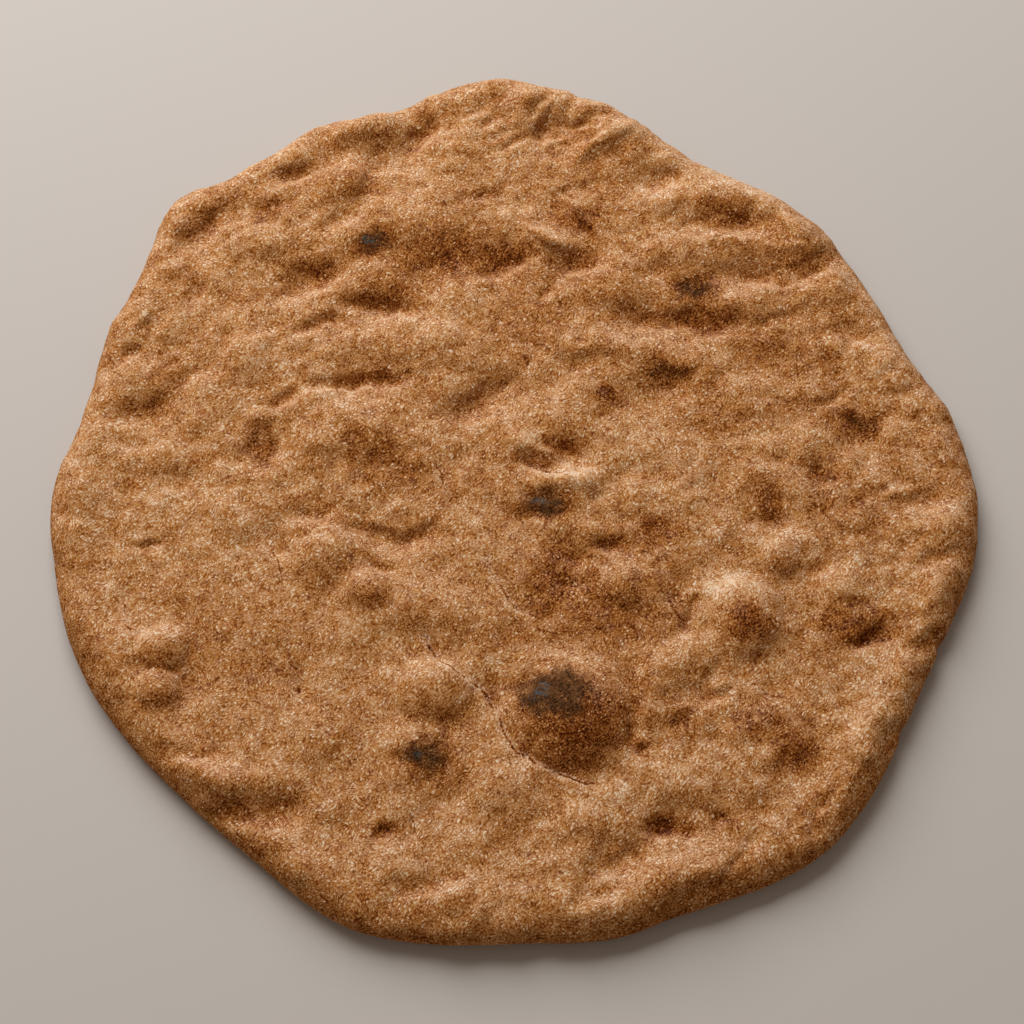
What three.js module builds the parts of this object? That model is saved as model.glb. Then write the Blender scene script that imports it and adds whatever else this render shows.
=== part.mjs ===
// Rye flatbread: one round of dough, patted out by hand and baked on a hot floor. Its crust has
// blisters, soft folds and hollows inside a rolled rim, and its underside is flat.
// Millimetres, +Z up. The origin is the middle of the underside, and the near edge faces -Y.

import * as THREE from "three";
import { ImprovedNoise } from "three/addons/math/ImprovedNoise.js";
import { mergeGeometries, mergeVertices } from "three/addons/utils/BufferGeometryUtils.js";

// Driving dimensions of the round
const THICKNESS = 8.3; // crust to underside, away from blisters and hollows
const EDGE_HEIGHT = 3.6; // height of the rim's widest line
const RIM_ROUND = 6.5; // width over which the crust turns down to the edge
const UNDER_ROUND = 5; // width over which the underside turns up to the edge
const LIP_RISE = 1.1; // how far the rolled rim stands above the crust
const LIP_INSET = 7.5; // distance of the roll's top from the edge
const LIP_WIDTH = 4.5; // half the width of the roll
const LIP_STRETCH = 60; // length of rim over which the roll swells and fades

// Slow unevenness of the patted dough: how far it lifts, and its length across and away
const WAVES = [
  { lift: 0.6, across: 46, away: 30 },
  { lift: 0.7, across: 21, away: 14 },
];

// How sharply a blister and a fold meet the crust around them
const BLISTER_SHOULDER = 1;
const FOLD_SHOULDER = 2;

// Unsteady outlines of the folds and hollows: how far they wander, and over what length
const WANDER_SHIFT = 4;
const WANDER_LENGTH = 16;

// Outline seen from above: turn in degrees from +X, and how far the edge lies from the middle
const EDGE = [
  [0, 129.4], [8, 126.1], [16, 120.6], [30, 119.6], [43, 121.7], [55, 118.6], [63, 118.1],
  [69, 121.8], [76, 127.0], [84, 130.9], [92, 134.8], [98, 132.5], [107, 127.5], [116, 130.5],
  [126, 129.2], [132, 130.2], [138, 135.5], [143, 132.7], [150, 127.4], [160, 126.0],
  [169, 124.1], [176, 125.3], [183, 129.8], [190, 130.3], [207, 131.8], [228, 130.0],
  [239, 131.6], [252, 137.3], [261, 136.5], [270, 134.6], [282, 135.9], [288, 134.4],
  [306, 137.4], [316, 133.8], [325, 129.3], [334, 128.0], [350, 131.1],
];

// Relief of the crust, oval by oval: middle x and y, half length, half width, turn, rise
const BLISTERS = [
  [15.5, -74.5, 16, 17.5, 0, 4.6], [63, -47, 11.5, 13, -20, 3.4], [-22, -68, 12, 10, 0, 3.0],
  [-95, -56.5, 7.5, 7.5, 0, 2.4], [-94.5, -67.5, 7, 6.6, 0, 2.3], [-40, -38.5, 6.8, 6.8, 0, 2.0],
  [73, -30, 7, 7, 0, 2.1], [61.5, 84.5, 10.5, 10, 15, 1.4], [-51, 93.5, 10, 8.5, 20, 2.2],
];
const FOLDS = [
  // along the far edge
  [-44, 114, 15, 8, 8, 2.3], [-13, 108, 17, 9, 42, 1.4], [4, 119, 9, 7, 60, 1.9],
  [28, 109, 15, 8, 35, 2.7], [48, 86, 18, 10, 15, 1.9],
  // across the far half
  [-32, 79, 30, 13, 5, 2.3], [-72, 74, 19, 9, 20, 1.4], [10, 75, 13, 7, -22, 1.6],
  [30, 57, 18, 13, 20, 2.7], [50, 69, 14, 9, 10, 2.2], [68, 72, 16, 7, 5, 1.7],
  [84, 74, 11, 10, 20, 2.5], [69, 53, 14, 7.5, 15, 1.9], [92, 56, 11, 7, 10, 1.3],
  [38, 33, 30, 9, -5, 2.1], [-30, 38, 25, 10, -3, 1.8], [-54, 38, 14, 8, 15, 1.5],
  // on the left
  [-109, 28, 9, 9, 0, 1.5], [-109, 47, 7, 10, 20, 1.2], [-82, 26, 28, 9, 57, 1.9],
  [-46, 10, 22, 13, 10, 2.8], [-99, 1, 8, 8, 0, 1.4], [-119, -9, 9, 9, 0, 2.0],
  [-78, -17, 11, 8, -40, 1.9], [-50, -29, 14, 12, 0, 2.7],
  // in the middle
  [5, 9, 20, 10, 25, 1.5], [-16, 33, 17, 10, 25, 1.1], [24, 23, 10, 7, 10, 1.4],
  [14, -8, 15, 7, 5, 2.1], [28, -36, 12, 9, 0, 2.6], [-22, -45, 25, 15, 0, 2.2],
  [47, -11, 7, 9, 0, 1.4], [67, -5, 8, 9, 0, 1.5],
  // on the right
  [83, 4, 11, 7, 65, 1.8], [118, -20, 12, 8, 20, 2.1], [90, -37, 12, 9, 0, 1.9],
  [115, -38, 8, 11, -15, 1.9], [105, -66, 8, 12, -25, 1.4], [46, -57, 10, 7, 25, 1.7],
  // across the near half
  [-106, -59, 17, 11, -55, 1.8], [-75, -92, 19, 8, -3, 3.0], [-52, -119, 15, 7, -30, 1.4],
  [-50, -80, 11, 9, 0, 1.3], [-25, -84, 9, 8, 0, 1.4], [0, -96, 10, 12, 40, 1.3],
  [21, -104, 19, 9, -6, 2.0], [36, -68, 9, 14, 0, 2.2], [-13, -124, 17, 8, 3, 1.6],
  [-30, -117, 12, 7, 25, 1.4], [10, -117, 11, 7, 12, 1.6], [43, -117, 17, 8, 15, 2.2],
  [90, -87, 8, 17, -28, 1.9], [62, -75, 10, 8, 0, 1.4], [44, -96, 12, 7, 0, 1.5],
];
const HOLLOWS = [
  // along the far edge
  [-93, 75, 15, 8, 55, -2.2], [-66, 97, 11, 7, 20, -2.5], [-36, 103, 13, 7, -5, -1.5],
  [-29, 113, 14, 7, 48, -2.4], [13, 112, 14, 9, 22, -3.0], [43, 95, 12, 7, 10, -2.4],
  // across the far half
  [-60, 61, 14, 7, 18, -2.3], [14, 66, 13, 7, 5, -2.1], [-4, 66, 12, 7, 20, -1.8],
  [-22, 62, 20, 9, 12, -1.3], [-38, 51, 15, 7, -5, -2.2], [60, 79, 20, 7, 3, -1.9],
  [70, 61.5, 17, 7, 2, -2.2], [89, 65, 10, 7, 30, -1.7], [48, 45.5, 28, 7, -7, -2.0],
  // on the left
  [-106, 15, 14, 8, 18, -1.4], [-97, 26, 11, 7, 82, -0.9], [-47, 25.5, 17, 7, 3, -2.0],
  [-71, 3, 13, 7, 82, -2.4], [-90, -6, 8, 8, 0, -1.2], [-65, -24, 11, 7, -55, -1.9],
  // in the middle
  [-9, 21, 16, 7, 33, -2.0], [17, 2, 9, 7, 0, -2.6], [16, -30, 7, 12, 0, -1.8],
  [-33, -22, 15, 7, 0, -2.0], [43, 22, 9, 7, 0, -1.4], [8, -14, 10, 7, 0, -1.5],
  // on the right
  [99, 6, 9, 10, 0, -2.0], [102, 43, 10, 7, -25, -1.4], [74, -20, 11, 7, 0, -1.7],
  [80, -33, 7, 9, 0, -1.3], [99, -54, 10, 8, 0, -1.8], [72, 32, 11, 9, 0, -1.2],
  // across the near half
  [-57, -67, 7, 10, 0, -1.2], [-88, -70, 7, 10, 0, -1.2], [-66, -102, 15, 7, 3, -2.4],
  [-17, -98, 11, 9, 0, -1.7], [71, -62, 10, 9, 0, -1.7], [75, -90, 9, 10, 0, -1.8],
  [40, -105, 11, 7, -5, -1.9], [28, -113, 9, 7, 15, -1.2], [-6, -68, 7, 9, 0, -1.2],
];

// Fineness of the mesh
const CELLS = 64; // squares along one side of the crust's grid, an even number
const RIM_ROWS = 6; // bands from the crust round the edge to the underside
const COLUMNS = 4 * CELLS; // steps around the rim
const DEGREE = THREE.MathUtils.DEG2RAD;

const noise = new ImprovedNoise();

// Smooth closed outline through the listed points
const edgeCurve = new THREE.CubicInterpolant(
  [...EDGE.map(([turn]) => turn), 360],
  [...EDGE.map(([, reach]) => reach), EDGE[0][1]],
  1,
);
edgeCurve.settings = {
  endingStart: THREE.WrapAroundEnding,
  endingEnd: THREE.WrapAroundEnding,
};

function reach(turn) {
  return edgeCurve.evaluate(THREE.MathUtils.euclideanModulo(turn, 360))[0];
}

// Rise of one oval of relief at a point, fading to nothing at its border
function ovalRise(x, y, shoulder, [middleX, middleY, length, width, turn, rise]) {
  const cosine = Math.cos(turn * DEGREE);
  const sine = Math.sin(turn * DEGREE);
  const along = ((x - middleX) * cosine + (y - middleY) * sine) / length;
  const across = ((y - middleY) * cosine - (x - middleX) * sine) / width;
  const inside = Math.max(0, 1 - along * along - across * across);
  return rise * inside ** shoulder;
}

function sumOfOvals(x, y, shoulder, ovals) {
  return ovals.reduce((sum, oval) => sum + ovalRise(x, y, shoulder, oval), 0);
}

// Rolled rim: a low ridge that follows the edge, fuller in some stretches than in others
function lipRise(x, y) {
  const turn = Math.atan2(y, x) / DEGREE;
  const offTop = (reach(turn) - Math.hypot(x, y) - LIP_INSET) / LIP_WIDTH;
  const fullness = 1 + noise.noise(x / LIP_STRETCH, y / LIP_STRETCH, 0);
  return LIP_RISE * fullness * Math.exp(-offTop * offTop);
}

// Shift of the folds' outlines at a point, in one direction for each layer of noise
function wander(x, y, layer) {
  return WANDER_SHIFT * noise.noise(x / WANDER_LENGTH, y / WANDER_LENGTH, layer);
}

function crustHeight(x, y) {
  const waves = WAVES.reduce(
    (sum, wave, layer) => sum + wave.lift * noise.noise(x / wave.across, y / wave.away, layer),
    0,
  );
  const wanderedX = x + wander(x, y, WAVES.length);
  const wanderedY = y + wander(x, y, WAVES.length + 1);
  return THICKNESS + waves + lipRise(x, y)
    + sumOfOvals(x, y, BLISTER_SHOULDER, BLISTERS)
    + sumOfOvals(wanderedX, wanderedY, FOLD_SHOULDER, FOLDS)
    + sumOfOvals(wanderedX, wanderedY, FOLD_SHOULDER, HOLLOWS);
}

function placeOnTurn(point, turn, radius) {
  point.x = radius * Math.cos(turn * DEGREE);
  point.y = radius * Math.sin(turn * DEGREE);
}

// Turn at which a step of the rim stands, where the border of a square grid is drawn out round
function columnTurn(column) {
  const side = Math.round(column / CELLS);
  const offset = (2 * column) / CELLS - 2 * side;
  return 90 * side + Math.asin(offset / Math.SQRT2) / DEGREE;
}

// Rim section: fall 0 is the crust, one half is the widest line, and 1 is the underside
function placeOnRim(point, column, fall) {
  const turn = columnTurn(THREE.MathUtils.euclideanModulo(column, COLUMNS));
  const sweep = fall * Math.PI;
  const upper = fall < 0.5;
  const round = upper ? RIM_ROUND : UNDER_ROUND;
  placeOnTurn(point, turn, reach(turn) - round * (1 - Math.sin(sweep)));
  point.z = upper
    ? THREE.MathUtils.lerp(EDGE_HEIGHT, crustHeight(point.x, point.y), Math.cos(sweep))
    : EDGE_HEIGHT * (1 + Math.cos(sweep));
}

// Step of the rim that a point on the grid's border meets
function borderColumn(x, y) {
  const half = CELLS / 2;
  if (x === 1) return y * half;
  if (y === 1) return CELLS - x * half;
  if (x === -1) return 2 * CELLS - y * half;
  return 3 * CELLS + x * half;
}

// Square grid drawn out to the round inside the rim
function placeOnCrust(point) {
  const { x, y } = point;
  if (Math.max(Math.abs(x), Math.abs(y)) === 1) {
    placeOnRim(point, borderColumn(x, y), 0);
    return;
  }
  const roundX = x * Math.sqrt(1 - (y * y) / 2);
  const roundY = y * Math.sqrt(1 - (x * x) / 2);
  const turn = Math.atan2(roundY, roundX) / DEGREE;
  placeOnTurn(point, turn, Math.hypot(roundX, roundY) * (reach(turn) - RIM_ROUND));
  point.z = crustHeight(point.x, point.y);
}

// Strip wrapped once around the edge
function placeOnStrip(point) {
  placeOnRim(point, Math.round((point.x + 0.5) * COLUMNS), 0.5 - point.y);
}

// Disc that closes the underside
function placeOnUnderside(point) {
  if (Math.hypot(point.x, point.y) > 0.5) {
    const turn = Math.atan2(point.y, point.x) / DEGREE;
    placeOnRim(point, Math.round((turn / 360) * COLUMNS), 1);
  }
}

function reshape(geometry, place) {
  const positions = geometry.attributes.position;
  const point = new THREE.Vector3();
  for (let index = 0; index < positions.count; index += 1) {
    place(point.fromBufferAttribute(positions, index));
    positions.setXYZ(index, point.x, point.y, point.z);
  }
  geometry.deleteAttribute("normal");
  geometry.deleteAttribute("uv");
  return geometry;
}

function flatbreadGeometry() {
  const crust = reshape(new THREE.PlaneGeometry(2, 2, CELLS, CELLS), placeOnCrust);
  const rim = reshape(new THREE.PlaneGeometry(1, 1, COLUMNS, RIM_ROWS), placeOnStrip);
  const underside = new THREE.CircleGeometry(1, COLUMNS).rotateX(Math.PI);
  const geometry = mergeVertices(
    mergeGeometries([crust, rim, reshape(underside, placeOnUnderside)]),
  );
  geometry.computeBoundingBox();
  const middle = geometry.boundingBox.getCenter(new THREE.Vector3());
  geometry.translate(-middle.x, -middle.y, 0);
  geometry.computeVertexNormals();
  return geometry;
}

const crustMaterial = new THREE.MeshStandardMaterial({
  color: 0xa06d43,
  roughness: 0.9,
  metalness: 0,
});

const flatbread = new THREE.Mesh(flatbreadGeometry(), crustMaterial);
flatbread.name = "flatbread";

const bread = new THREE.Group();
bread.add(flatbread);

export default bread;
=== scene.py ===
"""Looks of a hand-patted rye flatbread, dressed over its CAD solid in the same frame, in metres."""

import math

import bmesh
import bpy
import numpy as np
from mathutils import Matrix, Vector, noise


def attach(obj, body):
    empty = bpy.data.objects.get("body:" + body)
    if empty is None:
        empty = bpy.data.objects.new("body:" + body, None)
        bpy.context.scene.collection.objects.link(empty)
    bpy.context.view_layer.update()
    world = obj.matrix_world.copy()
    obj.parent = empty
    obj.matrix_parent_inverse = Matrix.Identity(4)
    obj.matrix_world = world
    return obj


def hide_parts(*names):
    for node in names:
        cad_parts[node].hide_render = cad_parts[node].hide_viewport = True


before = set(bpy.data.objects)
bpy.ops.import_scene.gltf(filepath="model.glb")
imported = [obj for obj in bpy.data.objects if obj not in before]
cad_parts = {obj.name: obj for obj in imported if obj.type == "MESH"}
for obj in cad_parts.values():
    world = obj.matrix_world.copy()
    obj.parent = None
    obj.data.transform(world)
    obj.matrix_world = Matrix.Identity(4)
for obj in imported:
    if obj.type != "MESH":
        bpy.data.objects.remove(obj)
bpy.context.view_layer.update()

bl_info = {
    "name": "Rye Flatbread",
    "version": (1, 0, 0),
    "blender": (4, 5, 0),
    "location": "View3D > Sidebar > Flatbread",
    "description": "Crust, meal and stage of a hand-patted rye flatbread",
    "category": "Object",
}

MM = 0.001
BODY = "root"
NODE = "flatbread"
CRUST_PIECE = "bread_crust"
MEAL_PIECE = "meal_flecks"
BROWNING = "Oven browning"

# Valleys where folds of dough meet, in mm: middle x and y, half length, widths of the far and near
# flanks, turn in degrees, depth
CREASES = [
    (-92, 79, 10, 4, 4, 50, 0.8), (-66, 97, 9, 5, 4, 20, 1.3), (-44, 95, 11, 3, 4, 75, 1.1),
    (-61, 58.5, 14, 6, 5, 25, 1.5), (-93, 57, 7, 4, 4, 80, 1.1), (-27, 113, 13, 6, 4, 55, 1.4),
    (-6, 116, 9, 2.4, 2.4, 33, 0.8), (-1, 113, 9, 2.4, 2.4, 28, 0.8), (-2, 108, 10, 2.6, 2.6, 30, 1.0),
    (-12, 119, 6, 2.2, 2.2, 35, 0.8), (7, 122, 5, 2.2, 2.2, 35, 0.7), (10, 115, 8, 3, 3, 68, 1.1),
    (20, 107, 11, 6, 4, 35, 1.4), (24, 116, 9, 3, 3, 8, 1.4), (19, 64, 10, 6, 4, 25, 1.0),
    (-2, 65, 10, 5, 4, 22, 1.6), (9.5, 56, 6, 3, 3, 45, 1.2), (43, 95, 10, 5, 4, 12, 0.4),
    (60, 78.5, 19, 5, 5, 3, 0.3), (70, 60.5, 17, 7, 5, 2, 0.8), (89, 64, 9, 5, 4, 30, 0.5),
    (48, 45.5, 26, 6, 5, -7, 1.1), (-106, 15.5, 13, 5, 5, 18, 0.6), (-98, 26, 9, 4, 4, 82, 0.4),
    (-57, 44.5, 10, 4, 3.5, 20, 1.6), (-48, 25.5, 16, 4, 3, 3, 2), (-65, 19, 5, 3, 3, 40, 1.3),
    (-69.5, 4, 10, 6, 2.5, 80, 1.4), (-55, -15, 7, 3, 3, 8, 1.0), (-64, -25, 9, 3, 5, -58, 0.7),
    (-101, -26, 6, 2, 2, 8, 1.1), (-9, 20.5, 15, 6, 10, 33, 2.3), (-35, 25, 8, 4, 4, 25, 1.4),
    (22, 32, 11, 4, 4, -6, 1.4), (8, -2.5, 7, 3, 2.5, -18, 1.6), (8, -10, 7, 3, 4, 5, 1.6),
    (26, -25.5, 5, 4, 3, 0, 2.2), (-40, -21, 8, 3, 5, -18, 1.4), (-27, -22, 9, 3, 5, 18, 1.4),
    (-37, -32.5, 5, 2, 2, -35, 1.3), (87, -4, 9, 4, 3.5, 35, 1.4), (112, -12, 10, 4, 5, 15, 1.6),
    (-66, -102, 14, 6, 4, 3, 0.8), (-85, -85.5, 8, 3, 3, -10, 1.1), (31.5, -74, 15, 3, 3, 86, 1.0),
    (48, -46, 7, 3, 3, 60, 1.6), (28, -114, 8, 4, 4, 15, 1.4), (40, -105, 9, 4, 4, -5, 1.6),
    (52, -69, 8, 3, 3, 10, 1.3), (-38, 51, 14, 4, 4, -5, 1.4), (-22, -121, 9, 4, 3, 8, 1.2),
    (20, -124, 8, 4, 3, 12, 1.2), (60, -113, 8, 4, 4, 60, 1.0), (80, -100, 8, 4, 4, 55, 1.0),
    (99, -80, 8, 4, 4, 40, 1.2), (111, -55, 7, 4, 4, 30, 1.1), (117, -30, 7, 4, 4, 15, 1.2),
    (97, -53, 8, 4, 3, 20, 1.3), (-105, 45, 8, 4, 4, 60, 1.0), (-84, 38, 12, 4, 3, 55, 1.0),
    (-112, 33, 7, 3, 3, 40, 1.0), (-72, 44, 9, 3, 3, 30, 1.0), (-12, 88, 12, 3, 3, 12, 0.9),
    (18, 92, 10, 3, 3, 20, 1.0), (-52, 80, 9, 3, 3, 15, 0.9), (77, 46, 10, 4, 4, 12, 0.7),
    (100, 40, 9, 4, 3, -25, 1.0), (90, 20, 8, 3, 3, 30, 0.9), (40, 62, 9, 4, 4, 14, 0.6),
]

# Small ridges and pits, in mm: middle x and y, half length, half width, turn, rise
RIDGES = [
    (5, 5.5, 8, 3.2, -20, 1.5), (14, -6, 13, 4, 5, 1.3), (10, 75, 11, 2.6, -22, 1.4),
    (-33, -19.5, 4, 2.5, 0, 0.8), (28, 109, 11, 3, 35, 1.0), (104, -8, 2, 2, 0, -1.2),
    (-76, -30, 3, 2.6, 0, -0.9), (34, -85, 3.4, 3.4, 0, -0.9), (45, -77, 4, 3.5, 0, -0.9),
    (-34, -107, 3.5, 3, 0, -1.0), (53, -102, 4, 2.6, 10, -0.9), (78, 59, 2.4, 2.4, 0, -0.9),
]
RIDGE_SHOULDER = 1.5  # how softly a ridge or pit runs out

# Tops of the solid's blisters, in mm: middle x and y, half length, half width, turn, rise
DOMES = [
    (15.5, -74, 14.5, 15.5, 0, 1.7), (62.5, -46.5, 10, 12, -20, 1.8), (-21.5, -68, 11, 8.5, 0, 1.6),
    (-94.5, -56, 6.8, 6.8, 0, 1.8), (-95, -67.5, 6, 5.4, 0, 1.7), (-39.5, -39, 6, 6, 0, 1.5),
    (72.5, -29.5, 5.6, 5.6, 0, 1.6), (61, 85.5, 9.5, 8, 15, 1.2), (-51, 93.5, 8.5, 7, 20, 1.5),
]
DOME_SHOULDER = 0.7  # how softly a blister runs out
DOME_TOAST = 0.15  # even browning of a blister's skin
DOME_WANDER = 0.25  # share of the wander that the feet of the blisters keep
DOME_CALM = 0.85  # share of the crags that the stretched skin of a blister loses

# Cracks in the skin, in mm: depth, and the corners that they run through
CRACKS = [
    (0.6, [(-26, -51), (-23, -56), (-19, -61), (-8, -68), (-5, -74), (-1, -83), (3, -87), (10, -91),
           (19, -94), (24, -94)]),
    (0.5, [(-9, -28), (-3, -39), (1, -45), (8, -48)]),
    (0.4, [(-23, 2), (-20, -6), (-17, -12)]),
    (0.3, [(34, 15), (40, 7), (49, -6), (56, -15)]),
    (0.4, [(-68, -24), (-63, -37)]),
    (0.4, [(-108, -42), (-106, -47), (-104, -52), (-102, -56)]),
    (0.3, [(-62, -56), (-58, -63), (-57, -71)]),
    (0.4, [(-28, -100), (-25, -108)]),
    (0.4, [(40, -39), (46, -48)]),
    (0.6, [(2, -1), (7, -2), (12, -4), (18, -4)]),
    (0.4, [(31, -86), (37, -88)]),
]
CRACK_FULL = 0.6  # depth in mm at which a crack shows fully
CRACK_WIDTH = 1.1  # half the width of a crack's groove, in mm
CRACK_STEP = 0.5  # how far the skin on one side of a crack stands higher, in mm
CRACK_STEP_FADE = 2.5  # distance in mm over which that side comes down again
CRACK_REACH = 6.0  # distance in mm past which a crack no longer counts
CRACK_FADE = 3.0  # length in mm over which a crack dies out at its ends

# How far the relief's lines wander: cell of the noise and shift, both in mm
WANDER = [(10, 2.4), (4, 1.5)]
SPOT_WANDER = 1.3  # how many times farther the outlines of the spots wander
CRACK_WANDER = 0.6  # share of the wander that the cracks keep

# Crumpled skin, in mm: middle x and y, half length, half width, turn of the oval, and of its wrinkles
CRUMPLES = [
    (10, 113, 44, 18, -4, 35),
    (72, 72, 34, 14, -20, 12),
]
CRUMPLE_CELL = 3.6  # cell of the wrinkles' noise in mm
CRUMPLE_STRETCH = 1.9  # how far the wrinkles are drawn out

LUMP_SOFTNESS = 0.1  # rounding of the valleys between lumps

# Crags of the whole crust: cell and height in mm, how far they are drawn out, and their turn
CRAGS = [(17, 0.95, 1.2, 35), (8.5, 0.6, 1.2, 30), (5, 0.3, 1.2, 26)]
CALM = (-60, -70, 90, 75, 10)  # oval where the crags are lower: middle, half sizes and turn
CALM_SHARE = 0.45  # share of the crags that is lost in the middle of that oval
EDGE_CRAGS = 0.15  # share of the crags that is left on the side of the rim

# Layers of the noise, which keep its patterns apart
WANDER_LAYERS = (31, 41)
CRUMPLE_LAYER = 53
FLOW_LAYER = 71
CRAG_LAYER_STEP = 7

# Dimples of the sole: cell in mm, share and layer of each noise
DIMPLES = [(7, 1, 61), (3, 0.5, 67)]
SOLE_START = 0.3  # how far down the skin faces where the sole starts
SOLE_FULL = 0.8  # how far down it faces where all of it is sole

# Mesh of the crust
MERGE_DISTANCE = 0.01 * MM
FLAT_SOLE = -0.99  # upward part of the normal, below which a face of the solid is its flat sole
SQUARING_ANGLE = math.radians(60)  # how far two triangles may differ and still become one square

# Browned, charred, ashen and pale spots, in mm: middle x and y, half length, half width, strength
TOASTED = [
    (15.5, -76, 10, 10, 0.9), (62.5, -48, 3.8, 4.6, 0.9), (63, 83.5, 6, 4, 0.7),
    (-48, 91, 5, 3, 0.25), (-38, 0, 8, 6.5, 0.55), (-46, 4, 3, 4, 0.6), (11.5, -36, 6, 8.5, 1.0),
    (-20, -74, 6, 2.4, 0.25), (94, -49, 7, 4.5, 0.9), (66, -77, 6, 4, 0.75), (75, -83, 5.5, 5, 0.85),
    (45, -76, 3.5, 3, 0.5), (34, -85, 3, 3, 0.5), (40, -104, 4.5, 2.4, 0.85), (54, -102, 3, 2, 0.5),
    (-66, -101, 7, 3, 0.35), (-20, 67, 12, 5.5, 0.75), (-4, 69, 7, 3, 0.75), (-38, 56, 9, 4, 0.5),
    (-61, 64, 7, 3, 0.5), (-72, 84, 3.4, 3, 0.7), (-92, 79, 5, 4, 0.3), (20, 82, 4.5, 3.4, 0.9),
    (13, 85, 3, 3, 0.55), (14, 66, 7, 3, 0.4), (27, 19, 4, 3, 0.8), (15, 6, 4, 3, 0.6),
    (5, 1, 3, 2, 0.3), (57, 14, 4, 5, 0.4), (97, 13, 6, 4, 0.75), (71, -13, 3, 5, 0.85),
    (38, -21, 3, 3, 0.9), (44, -21, 3, 2.4, 0.5), (-93, -61, 4.5, 2.2, 0.25), (-94, -71, 4.5, 2.2, 0.35),
    (-39, -42, 3.5, 2.4, 0.5), (-100, 26, 3, 6, 0.2), (-104, 18, 7, 2, 0.3), (56, 46, 9, 3.5, 0.55),
    (72, 37, 6, 4, 0.55), (37, 48, 4, 2, 0.4), (86, 66, 6, 3, 0.3), (-72, 5, 4, 6, 0.6),
    (86, -3, 5, 2, 0.3), (-20, -91, 6, 4, 0.55), (-59, -63, 2, 5, 0.3), (-85, -34, 6, 3, 0.25),
    (-34, -107, 3, 2, 0.5), (52, 56.5, 6, 3.4, 1.0), (43, 27.5, 5, 3.5, 0.7), (9, -14, 6, 4, 1.0),
    (-41, 72, 5, 3, 0.85), (-23, -86, 5, 4, 0.9), (12, -71, 9, 7, 1.0), (92, 31, 3, 5, 0.3),
    (-6, -68, 2, 3, 0.5), (30, -40, 3, 2, 0.4), (34, 104, 4, 3, 0.3), (-42, 110, 6, 3, 0.25),
    (-28, 114, 4, 5, 0.3), (-43, 29, 6, 3, 0.3), (24, -38, 15, 14, 0.62), (15, 43, 16, 8, 0.25),
    (24, 61, 12, 7, 0.3), (10, -52, 12, 4, 0.4), (90, -18, 7, 6, 0.25),
]
CHARRED = [
    (-41, 72.5, 3, 2.6, 0.7), (8.5, -13.5, 4.5, 3.2, 0.85), (10.5, -69.5, 7, 4.6, 1.05),
    (-23, -85.5, 4, 3, 0.9), (43, 28, 4, 2.4, 0.45), (52, 56.5, 4, 2.2, 0.75), (98, 14, 4, 2, 0.45),
    (20, 82, 2, 2, 0.3),
]
ASHED = [
    (6.5, -12, 1.8, 1.4, 0.8), (8, -69, 2, 1.2, 0.75), (-42.5, 73, 1.5, 1.2, 0.85),
    (-24, -84.5, 1.8, 1.3, 0.75),
]
# Pale spots: broad ones are floury skin, those on lit far sides of blisters and ridges partly painted
# highlight
PALE_AND_HIGHLIGHT_SPOTS = [
    (17, -4, 7, 2.5, 0.5), (27, -32, 6, 4, 0.9), (15, -60, 9, 2, 0.3), (5, 6, 4, 2, 0.4),
    (58.5, -40, 6, 4, 1.2), (-22, -62.5, 6, 2.6, 0.6), (-96, -53, 3.5, 2, 0.4),
    (71.5, -27.5, 3.5, 2.5, 0.2), (33, -97, 6, 3.5, 0.3), (-21, -63, 5, 3, 0.3),
    (62, 94, 18, 9, 0.5), (-90, -10, 18, 38, 0.2), (100, -60, 12, 24, 0.15), (-50, -60, 26, 20, 0.2),
]
SPOT_FADE = 2.0  # how many times its half sizes away a spot has faded out
SPOT_SHOULDER = 1.4  # how softly a spot fades
EDGE_TOAST_AND_SHADE = 0.25  # browning of the rim's side at the floor, partly painted shade
EDGE_TOAST_AND_SHADE_TOP = 9.8  # height in mm at which the browning and painted shade of the rim's side end
EDGE_TOAST_AND_SHADE_FADE = 8.5  # height in mm over which it fades
EDGE_TOAST_AND_SHADE_TURN = 1.5  # how soon it comes in where the skin turns down

# Patterns in the skin, in mm
GRAIN_TURN = 48  # direction in which the grain is drawn out, in degrees
GRAIN_STRETCH = 1.6  # how far it is drawn out
BEND_CELL = 7  # stretches over which the lines of the grain bend
BEND = 4  # how far they bend
SMALL_GRAIN = 0.42
LARGE_GRAIN = 0.75
BROAD_BLOTCH = 17
CLOSE_BLOTCH = 3.4
MEALY_BLOTCH = 3
RAGGED_CELL = 2.6  # raggedness of the browned and charred spots
ASH_CELL = 0.9
CRACK_WIGGLE_CELL = 1.6
CRACK_WIGGLE = 0.45  # how far a crack's line wiggles to each side
CRACK_DASH = 2.6  # length of the dashes that a crack breaks into

# Where each pattern starts and where it is full
SMALL_GRAIN_EDGE = (0.65, 0.2)
LARGE_GRAIN_EDGE = (0.5, 0.15)
LARGE_GRAIN_DRAW = (0.4, 1.0)
GRAIN_GAP = (0.5, 0.85)
BROAD_RANGE = (0.36, 0.64)
CLOSE_RANGE = (0.34, 0.66)
MEALY_RANGE = (0.42, 0.66)
DASH_RANGE = (0.42, 0.56)
SPLIT_EDGE = (0.6, 0.1)  # distance in mm from the line of a crack
BORDER_EDGE = (1.7, 0.3)  # distance in mm from the line of a crack
RELIEF_PAINTED_LIGHT_RANGE = (-0.8, 1.8)  # rise of the fine relief in mm, from its darkest hollows to its palest tops: painted shade and highlight

# Paleness of the skin, and what each cause adds to it, painted light and shade among them
TONE_BASE = 0.27
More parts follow.
